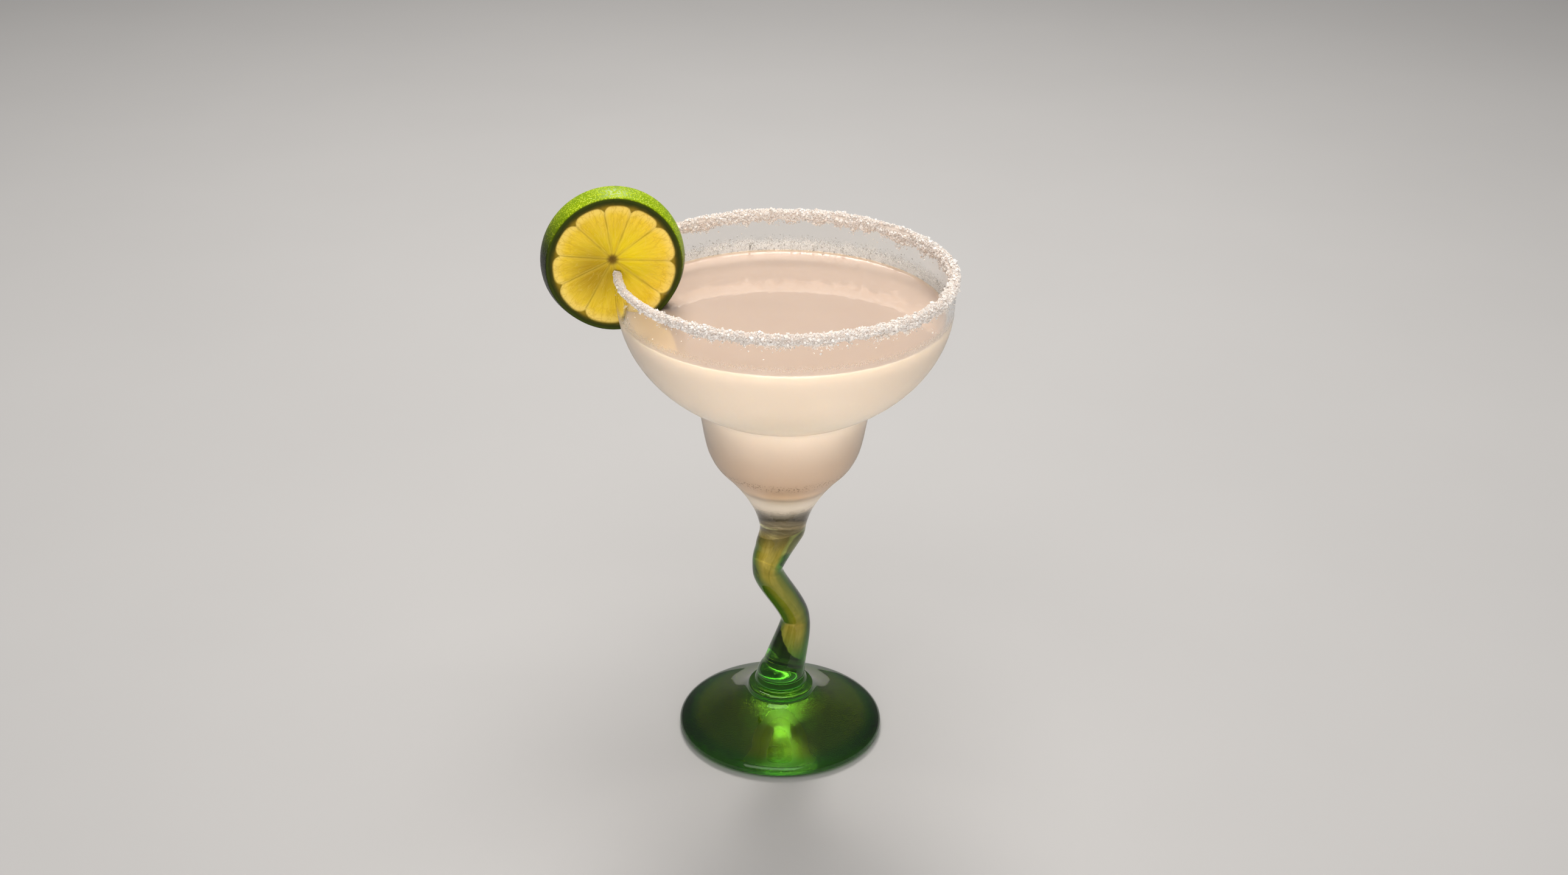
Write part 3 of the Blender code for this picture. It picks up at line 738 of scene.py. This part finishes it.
class Nodes:
    """A material's node tree, with short calls for the nodes that this scene uses."""

    def __init__(self, name):
        self.material = bpy.data.materials.new(name)
        self.material.use_nodes = True
        self.tree = self.material.node_tree
        self.shader = self.tree.nodes["Principled BSDF"]

    def set(self, **values):
        """Sets inputs of the shader to numbers or sockets, by their names with _ for a space."""
        for name, value in values.items():
            self.link(value, self.shader.inputs[name.replace("_", " ")])

    def add(self, kind, **properties):
        """A new node with the given properties."""
        node = self.tree.nodes.new(kind)
        for name, value in properties.items():
            setattr(node, name, value)
        return node

    def link(self, value, socket):
        """Gives an input a number, or a link where the value is a socket."""
        if isinstance(value, bpy.types.NodeSocket):
            self.tree.links.new(value, socket)
        else:
            socket.default_value = value

    def attribute(self, name, output="Fac"):
        return self.add("ShaderNodeAttribute", attribute_name=name).outputs[output]

    def coordinates(self):
        return self.add("ShaderNodeTexCoord").outputs["Object"]

    def noise(self, vector, scale, detail=3.0, roughness=0.55, output="Fac"):
        node = self.add("ShaderNodeTexNoise")
        self.link(vector, node.inputs["Vector"])
        node.inputs["Scale"].default_value = scale
        node.inputs["Detail"].default_value = detail
        node.inputs["Roughness"].default_value = roughness
        return node.outputs[output]

    def voronoi(self, vector, scale, feature="F1"):
        node = self.add("ShaderNodeTexVoronoi", feature=feature)
        self.link(vector, node.inputs["Vector"])
        node.inputs["Scale"].default_value = scale
        return node.outputs["Distance"]

    def ramp(self, value, stops):
        """A colour ramp through (place, colour) stops."""
        node = self.add("ShaderNodeValToRGB")
        elements = node.color_ramp.elements
        while len(elements) < len(stops):
            elements.new(0.5)
        for element, (place, colour) in zip(elements, stops):
            element.position = place
            element.color = (*colour, 1.0)
        self.link(value, node.inputs["Fac"])
        return node.outputs["Color"]

    def span(self, value, low, high, to_low=0.0, to_high=1.0):
        """The value, mapped smoothly from one range to another and clamped."""
        node = self.add("ShaderNodeMapRange", interpolation_type="SMOOTHSTEP")
        self.link(value, node.inputs["Value"])
        node.inputs["From Min"].default_value = low
        node.inputs["From Max"].default_value = high
        node.inputs["To Min"].default_value = to_low
        node.inputs["To Max"].default_value = to_high
        return node.outputs["Result"]

    def between(self, length, fades):
        """1 between the middle two of four lengths in mm, fading to 0 at the outer two."""
        low, full, fading, high = [edge * MM for edge in fades]
        return self.times(self.span(length, low, full), self.span(length, fading, high, 1.0, 0.0))

    def math(self, operation, a, b):
        node = self.add("ShaderNodeMath", operation=operation)
        self.link(a, node.inputs[0])
        self.link(b, node.inputs[1])
        return node.outputs[0]

    def times(self, first, *others):
        """The product of two or more numbers or sockets."""
        for other in others:
            first = self.math("MULTIPLY", first, other)
        return first

    def mix(self, share, a, b):
        """A share of the way from one colour to another."""
        node = self.add("ShaderNodeMix", data_type="RGBA")
        self.link(share, node.inputs[0])
        self.link((*a, 1.0) if isinstance(a, tuple) else a, node.inputs[6])
        self.link((*b, 1.0) if isinstance(b, tuple) else b, node.inputs[7])
        return node.outputs[2]

    def scaled(self, vector, scale):
        node = self.add("ShaderNodeVectorMath", operation="MULTIPLY")
        self.link(vector, node.inputs[0])
        node.inputs[1].default_value = scale
        return node.outputs["Vector"]

    def warped(self, vector, scale, amount):
        """The vector, pushed about by noise."""
        push = self.noise(vector, scale, 2.0, 0.5, "Color")
        node = self.add("ShaderNodeVectorMath", operation="ADD")
        self.link(vector, node.inputs[0])
        self.link(self.scaled(push, (amount, amount, amount)), node.inputs[1])
        return node.outputs["Vector"]

    def wander(self, vector, scale, amount):
        """Noise about zero, to make an edge uneven."""
        return self.times(self.math("SUBTRACT", self.noise(vector, scale), 0.5), amount)

    def wavy(self, vector, height):
        """The height, made uneven for the bands that cross the neck."""
        return self.math("ADD", height, self.times(self.noise(vector, 120), NECK_WAVES * MM))

    def away(self, vector, place):
        """Distance in metres from a place given in mm."""
        node = self.add("ShaderNodeVectorMath", operation="DISTANCE")
        self.link(vector, node.inputs[0])
        node.inputs[1].default_value = [c * MM for c in place]
        return node.outputs["Value"]

    def part(self, vector, axis):
        node = self.add("ShaderNodeSeparateXYZ")
        self.link(vector, node.inputs[0])
        return node.outputs[axis]

    def height(self):
        return self.part(self.coordinates(), "Z")

    def bump(self, height, distance, strength):
        """Sets the shader's normal from a height, with the full step given in metres."""
        node = self.add("ShaderNodeBump")
        node.inputs["Distance"].default_value = distance
        node.inputs["Strength"].default_value = strength
        self.link(height, node.inputs["Height"])
        self.link(node.outputs["Normal"], self.shader.inputs["Normal"])


def clear_glass():
    """Clear glass misted by the cold drink: damp above the level in dots of painted shade, a painted glow
    low down, and painted shade with painted glint lines in the neck.
    """
    m = Nodes("clear_glass")
    place = m.coordinates()
    height = m.height()
    level = m.add("ShaderNodeMapRange", clamp=False)
    m.link(height, level.inputs["Value"])
    level.inputs["From Min"].default_value = LEVEL_Z * MM
    level.inputs["From Max"].default_value = (LEVEL_Z + DAMP_REACH) * MM
    above = level.outputs["Result"]
    wavy = m.wavy(place, height)
    specks = m.noise(place, 2600, 2.0, 0.6)
    mist = m.times(m.span(m.math("SUBTRACT", specks, above), -0.06, 0.16), m.span(wavy, 88 * MM, 94.5 * MM))
    band = m.times(m.span(above, 0.10, 0.35), m.span(m.math("ADD", above, specks), 1.10, 1.35, 1.0, 0.0),
                   m.span(m.part(place, "Y"), -25 * MM, 5 * MM))
    # Grey dots where damp sits above the level: the drops are real, their grey is painted shade
    dots = m.times(m.span(m.voronoi(place, 2500), 0.22, 0.42, 1.0, 0.0), band, 0.80)
    tint = m.mix(dots, CLEAR, DAMP_DOT_PAINTED_SHADE)
    # Cream tint, strongest at the neck: the mist is real, its cream is the drink's painted glow
    tint = m.mix(m.span(height, 92 * MM, 132 * MM, 0.8, 0.1), tint, HONEY_PAINTED_GLOW)
    # Painted shade across the neck, crossed by thin painted glint lines
    lines = m.noise(m.scaled(m.warped(place, 90, 0.004), (1.0, 1.0, 5.0)), 130, 3.0, 0.65)
    painted_neck = m.mix(m.span(lines, 0.50, 0.68, 0.0, 0.8), NECK_PAINTED_SHADE, NECK_PAINTED_GLINT)
    tint = m.mix(m.span(wavy, 84.5 * MM, 94.5 * MM, 0.97, 0.0), tint, painted_neck)
    bubbles = m.span(m.voronoi(m.warped(place, 300, 0.002), 1300), 0.20, 0.46, 1.0, 0.0)
    clusters = m.span(m.noise(place, 170, 2.0), 0.30, 0.55)
    tint = m.mix(m.times(m.between(height, BUBBLE_RING), bubbles, clusters, 0.9), tint, BUBBLE)
    patches = m.span(m.noise(place, 260, 4.0), 0.35, 0.7, 0.80, 1.0)
    rough = m.span(m.times(mist, patches), 0.0, 1.0, 0.015, 0.40)
    milky = m.times(mist, m.span(above, 0.0, 0.2, 1.0, 0.0), m.span(height, 93 * MM, 100 * MM, 0.78, 0.15))
    damp = m.times(m.span(above, 0.02, 0.12), m.span(m.math("ADD", above, patches), 1.15, 1.70, 1.0, 0.0),
                   m.span(m.part(place, "Y"), -20 * MM, 10 * MM), m.span(specks, 0.42, 0.56, 0.15, 0.60))
    clear = m.math("SUBTRACT", m.math("SUBTRACT", 1.0, milky), damp)
    m.set(Base_Color=tint, Roughness=rough, IOR=GLASS_IOR, Transmission_Weight=clear)
    streaks = m.times(m.noise(m.scaled(place, (1.0, 1.0, 0.5)), 240, 3.0), NECK_STREAKS,
                      m.span(height, 90 * MM, 99 * MM, 1.0, 0.0))
    m.bump(m.math("ADD", m.times(specks, mist), streaks), 0.05 * MM, 0.35)
    return m.material


def green_glass():
    """Deep green glass with drawn streaks: olive through the stem with painted warm tones seen through,
    emerald in the foot, painted shade and a highlight.
    """
    m = Nodes("green_glass")
    place = m.coordinates()
    height = m.height()
    wavy = m.wavy(place, height)
    strand = m.attribute("strand", "Vector")
    drawn = m.warped(m.scaled(strand, (3.0, 3.0, 6.0)), 0.6, 1.2)
    streaks = m.noise(drawn, 1.0, 4.0, 0.6)
    foot = m.mix(m.span(streaks, 0.3, 0.7), *FOOT_GREENS)
    radius = m.away(m.scaled(place, (1.0, 1.0, 0.0)), (0, 0, 0))
    # An olive disc round the collar: a painted image of the brown surface seen through the foot
    foot = m.mix(m.times(m.between(radius, FOOT_DISC), 0.85), foot, FOOT_PAINTED_OLIVE)
    # Darker green where the stem is seen edge on: the longer path through the glass, with painted shade
    # added
    grazing = m.add("ShaderNodeLayerWeight").outputs["Facing"]
    stem = m.mix(m.span(grazing, 0.10, 0.34, 0.0, 0.85), m.ramp(streaks, STEM_STREAKS_PAINTED_WARM), STEM_EDGE_PAINTED_SHADE)
    stem = m.mix(m.span(grazing, 0.20, 0.50, 0.0, 0.96), stem, STEM_RIM_PAINTED_SHADE)
    tint = m.mix(m.span(height, 22 * MM, 40 * MM), foot, stem)
    # Painted shade at the top of the stem, by the seam
    tint = m.mix(m.span(wavy, 72.5 * MM, 79.5 * MM, 0.0, 0.92), tint, SEAM_PAINTED_SHADE)
    right = m.span(m.part(strand, "X"), 0.25, 0.55)
    tint = m.mix(m.times(right, m.span(height, 64 * MM, 69 * MM), 0.9), tint, EMERALD)
    # A pale green painted highlight on the right of the stem's top
    tint = m.mix(m.times(right, m.span(wavy, 72.5 * MM, 75 * MM), 0.92), tint, WEDGE_PAINTED_HIGHLIGHT)
    m.set(Base_Color=tint, Roughness=0.015, IOR=GLASS_IOR, Transmission_Weight=1.0, Specular_IOR_Level=0.35)
    underside = m.times(m.noise(place, 2800, 2.0), m.span(height, 0.2 * MM, 0.6 * MM, 3.5, 0.0))
    m.bump(m.math("ADD", streaks, underside), 0.20 * MM, 0.20)
    return m.material


def drink_finish():
    """Cloudy juice: cream in the body and darker in the tier as painted light and shade, a thin dark brown
    line low down, and a glossy top painted greyer as shade.
    """
    m = Nodes("cloudy_drink")
    place = m.coordinates()
    height = m.height()
    low, high = DRINK_SPAN
    cloud = m.noise(place, 28, 3.0, 0.6)
    rise = m.math("DIVIDE", m.math("SUBTRACT", height, low * MM), (high - low) * MM)
    rise = m.math("ADD", rise, m.span(cloud, 0.0, 1.0, -0.02, 0.02))
    # Painted light and shade: the body's tone follows its height
    body = m.ramp(rise, [((z - low) / (high - low), colour) for z, colour in DRINK_PAINTED_LIGHT_BY_HEIGHT])
    # A thin, broken dark brown line low in the drink
    low_line = m.times(m.between(height, LOW_DARK_LINE), m.span(m.noise(place, 900, 3.0), 0.35, 0.60, 0.20, 0.90))
    body = m.mix(low_line, body, LOW_LINE_BROWN)
    # The upward-facing top is painted greyer than the body, as painted shade
    up = m.part(m.add("ShaderNodeNewGeometry").outputs["Normal"], "Z")
    top = m.mix(cloud, *DRINK_TOP_PAINTED_SHADE)
    m.set(Base_Color=m.mix(m.span(up, 0.35, 0.95), body, top), Roughness=0.12, IOR=JUICE_IOR)
    m.set(Subsurface_Weight=m.span(height, 97 * MM, 108 * MM, 0.0, 0.5))
    m.set(Subsurface_Radius=(1.0, 0.85, 0.6), Subsurface_Scale=4 * MM)
    m.set(Coat_Weight=1.0, Coat_Roughness=0.02, Coat_IOR=1.9)
    m.bump(m.noise(place, 45, 2.0), 0.2 * MM, 0.12)
    return m.material


def salt_finish(name, rough, shade, shades):
    """Salt with a few brown stains, between two tones by an attribute, or by noise without one."""
    m = Nodes(name)
    place = m.coordinates()
    white = m.mix(m.attribute(shade) if shade else m.noise(place, 700, 2.0), *shades)
    stain = m.span(m.noise(place, 90, 3.0, 0.6), 0.64, 0.80)
    tint = m.mix(m.times(stain, 0.30), white, SALT_STAIN)
    m.set(Base_Color=tint, Roughness=rough, IOR=SALT_IOR, Subsurface_Weight=0.45)
    m.set(Subsurface_Radius=(1.0, 0.9, 0.8), Subsurface_Scale=0.8 * MM)
    m.bump(m.noise(place, 2200, 3.0, 0.6), 0.15 * MM, 0.5)
    return m.material


def lime_flesh(m, place):
    """Long soft cells that point to the core, pale at their outer ends."""
    pulp = m.warped(m.attribute("pulp", "Vector"), 1.3, 0.7)
    long_cells = m.scaled(pulp, (0.75, 0.36, 1.0))
    cells = m.voronoi(long_cells, 1.0, "SMOOTH_F1")
    walls = m.voronoi(long_cells, 1.0, "DISTANCE_TO_EDGE")
    creases = m.warped(m.attribute("pulp", "Vector"), 0.9, 1.5)
    veins = m.voronoi(m.scaled(creases, (0.80, 0.48, 1.0)), 1.0, "DISTANCE_TO_EDGE")
    fibres = m.noise(m.scaled(pulp, (2.2, 0.30, 1.0)), 1.0, 4.0, 0.65)
    segments = m.noise(m.scaled(pulp, (0.02, 0.02, 1.0)), 1.0, 1.0)
    edge, core = m.attribute("edge"), m.attribute("core")
    beside = m.math("ADD", m.attribute("beside"), m.wander(place, 300, 0.9))
    flesh = m.mix(m.span(edge, 0.15, 0.95), FLESH_INNER, FLESH_OUTER)
    flesh = m.mix(m.span(segments, 0.35, 0.65, 0.0, 0.45), flesh, FLESH_SEGMENT)
    flesh = m.mix(m.span(fibres, 0.35, 0.70, 0.0, 0.42), flesh, FLESH_FIBRE)
    flesh = m.mix(m.span(cells, 0.15, 0.75, 0.30, 0.0), flesh, FLESH_CELL)
    # Painted light brightens the pulp to the right of the core
    flesh = m.mix(m.span(m.away(place, LIME_LIT_PLACE), 2 * MM, 14 * MM, 0.60, 0.0), flesh, FLESH_PAINTED_LIGHT)
    # Painted shade darkens the pulp to the left of and below the core
    flesh = m.mix(m.span(m.away(place, LIME_SHADED_PLACE), 2 * MM, 13 * MM, 0.75, 0.0), flesh, FLESH_PAINTED_SHADE)
    flesh = m.mix(m.span(edge, 0.82, 0.985, 0.0, 0.70), flesh, FLESH_END)
    flesh = m.mix(m.span(walls, 0.0, 0.06, 0.15, 0.0), flesh, FLESH_WALL)
    flesh = m.mix(m.times(m.span(veins, 0.0, 0.09, 0.40, 0.0), m.span(edge, 0.45, 0.85)), flesh, FLESH_VEIN)
    flesh = m.mix(m.span(beside, 0.30, 1.00, 0.22, 0.0), flesh, FLESH_MEMBRANE)
    # Painted shade along the membranes, broken in places
    broken = m.span(m.noise(place, 130, 2.0), 0.38, 0.60, 0.25, 1.0)
    flesh = m.mix(m.times(m.span(beside, 0.0, 0.55, 0.42, 0.0), broken), flesh, FLESH_SEAM_PAINTED_SHADE)
    return m.mix(m.span(core, 0.8, 2.4, 0.90, 0.0), flesh, LIME_CORE), cells


def lime_peel(m, place):
    """Peel with oil glands: painted light makes it yellow green above, painted shade makes it dark green
    below and to the left.
    """
    glands = m.voronoi(m.warped(place, 700, 0.0003), 1500)
    # Painted light and shade across the peel: lit up and to the right, shaded down and to the left
    slope = m.add("ShaderNodeVectorMath", operation="DOT_PRODUCT")
    m.link(place, slope.inputs[0])
    slope.inputs[1].default_value = PEEL_LIGHT_WAY
    middle = float(np.dot(PEEL_LIGHT_WAY, LIME_CENTRE)) * MM
    side = m.span(slope.outputs["Value"], middle - 4 * MM, middle + 17 * MM)
    peel = m.mix(side, PEEL_PAINTED_SHADE, m.mix(m.span(m.noise(place, 150, 3.0), 0.3, 0.7), *PEEL_GREENS))
    peel = m.mix(m.span(glands, 0.05, 0.40, 0.65, 0.0), peel, m.mix(side, *GLAND_SHADED_AND_LIT))
    return m.mix(m.span(glands, 0.34, 0.56, 0.0, 0.70), peel, m.mix(side, *GROOVE_SHADED_AND_LIT)), glands


def lime_finish():
    """Pulp, pale membranes, an amber ring darkened towards black as painted shade, and pored peel."""
    m = Nodes("lime")
    place = m.coordinates()
    flesh, cells = lime_flesh(m, place)
    peel, glands = lime_peel(m, place)
    edge, rim, skin = m.attribute("edge"), m.attribute("rim"), m.attribute("peel")
    # Amber at the flesh's edge, then darkened to near black over the pith as painted shade
    ring = m.ramp(m.span(m.math("ADD", rim, m.wander(place, 420, 0.045)), 0.865, 1.0), RIND_RING_PAINTED_SHADE)
    cut = m.mix(m.span(edge, 0.978, 1.022), flesh, ring)
    m.set(Base_Color=m.mix(skin, cut, peel), Roughness=m.span(skin, 0.0, 1.0, 0.22, 0.34))
    m.set(IOR=FRUIT_IOR, Specular_IOR_Level=0.3, Subsurface_Weight=0.30)
    m.set(Subsurface_Radius=(1.0, 0.75, 0.12), Subsurface_Scale=1.5 * MM)
    pores = m.times(m.span(glands, 0.0, 0.6, 1.0, 0.0), skin)
    bulges = m.times(m.span(cells, 0.0, 0.9, 1.0, 0.0), m.span(edge, 0.94, 1.0, 1.0, 0.0),
                     m.math("SUBTRACT", 1.0, skin))
    m.bump(m.math("ADD", pores, bulges), 0.22 * MM, 0.8)
    return m.material


def floor_finish():
    """Matt pale grey with a faint drift of tone."""
    m = Nodes("floor")
    m.set(Base_Color=m.mix(m.noise(m.coordinates(), 6, 3.0), *FLOOR_TONES), Roughness=0.6)
    return m.material


def dress(piece, node, finish):
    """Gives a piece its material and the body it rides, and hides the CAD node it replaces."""
    piece.data.materials.clear()
    piece.data.materials.append(finish)
    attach(piece, "root")
    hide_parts(node)


def make_floor():
    """A wide floor a hair below the foot, as stage."""
    far = FLOOR_HALF
    floor = mesh_object("floor", [(-far, -far, 0), (far, -far, 0), (far, far, 0), (-far, far, 0)],
                        [(0, 1, 2, 3)], smooth=False)
    floor.location.z = -FLOOR_DROP * MM
    floor.data.materials.append(floor_finish())


def add_softbox(name, place, aim_height, size, power, colour, glossy):
    """A rectangular lamp that looks at a point on the glass's axis."""
    light = bpy.data.lights.new(name, "AREA")
    light.shape = "RECTANGLE"
    light.size, light.size_y = size
    light.energy = power
    light.color = colour
    lamp = bpy.data.objects.new(name, light)
    bpy.context.scene.collection.objects.link(lamp)
    lamp.location = place
    way = np.array((0, 0, aim_height)) - np.array(place)
    lamp.rotation_euler = Matrix(look_along(way)).to_euler()
    lamp.visible_glossy = glossy


def look_along(way):
    """Rows of the rotation that turns -Z along a direction, with +Y kept up."""
    back = -np.array(way, float) / np.linalg.norm(way)
    up = (0, 1, 0) if abs(back[2]) > 0.98 else (0, 0, 1)
    right = np.cross(up, back)
    right /= np.linalg.norm(right)
    return np.stack([right, np.cross(back, right), back], 1).tolist()


def make_world():
    """Soft room light, a little brighter overhead."""
    world = bpy.data.worlds.new("studio")
    bpy.context.scene.world = world
    world.use_nodes = True
    tree = world.node_tree
    direction = tree.nodes.new("ShaderNodeTexCoord").outputs["Generated"]
    parts = tree.nodes.new("ShaderNodeSeparateXYZ")
    tree.links.new(direction, parts.inputs[0])
    ramp = tree.nodes.new("ShaderNodeValToRGB")
    ramp.color_ramp.interpolation = "EASE"
    elements = ramp.color_ramp.elements
    elements.new(SKY[1][0])
    for element, (place, level) in zip(elements, SKY):
        element.position = place
        element.color = (*(level * tone for tone in SKY_TONE), 1.0)
    tree.links.new(parts.outputs["Z"], ramp.inputs["Fac"])
    tree.links.new(ramp.outputs["Color"], tree.nodes["Background"].inputs["Color"])


def make_camera():
    """The camera at the photograph's viewing angle."""
    data = bpy.data.cameras.new("camera")
    data.sensor_width = SENSOR
    data.lens = FOCAL_PIXELS * SENSOR / IMAGE_WIDTH
    camera = bpy.data.objects.new("camera", data)
    bpy.context.scene.collection.objects.link(camera)
    camera.matrix_world = (Matrix.Translation(CAMERA_PLACE)
                           @ Matrix.Rotation(math.pi / 2 - CAMERA_PITCH, 4, "X")
                           @ Matrix.Rotation(CAMERA_ROLL, 4, "Z"))
    bpy.context.scene.camera = camera


def set_look():
    """Plain colours, and enough bounces for light to pass both glasses and the drops."""
    scene = bpy.context.scene
    scene.view_settings.view_transform = "Standard"
    scene.cycles.use_denoising = True
    scene.cycles.max_bounces = BOUNCES
    scene.cycles.transmission_bounces = GLASS_BOUNCES
    scene.cycles.transparent_max_bounces = CLEAR_BOUNCES


def make_glass():
    """The clear bowl and the green stem with its foot. The bowl casts no shadow on the drink."""
    clear = clear_glass()
    bowl = make_bowl()
    dress(bowl, "bowl", clear)
    bowl.visible_shadow = False
    dress(make_stem(), "stem_and_foot", green_glass())
    return clear


def make_salt():
    """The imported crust, with coarse and fine crystals on it."""
    # The crust is painted darker than the crystals, as the shade between them
    crust = salt_finish("salt_crust", 0.55, None, CRUST_PAINTED_SHADE_TONES)
    crystals = salt_finish("salt_grains", 0.20, "glint", CRYSTAL_TONES)
    dress(make_crust(), "salt_rim", crust)
    dress(make_grains(), "salt_rim", crystals)
    dress(make_fine_salt(), "salt_rim", crystals)


def main():
    """The whole scene: stage first, then every piece of the drink."""
    make_camera()
    make_world()
    for lamp in LAMPS:
        add_softbox(*lamp)
    make_floor()
    clear = make_glass()
    dress(make_drink(), "drink", drink_finish())
    lime = make_lime()
    cut_slit(lime)
    dress(lime, "lime_wheel", lime_finish())
    make_salt()
    dress(make_beads(), "drink", clear)
    set_look()


main()
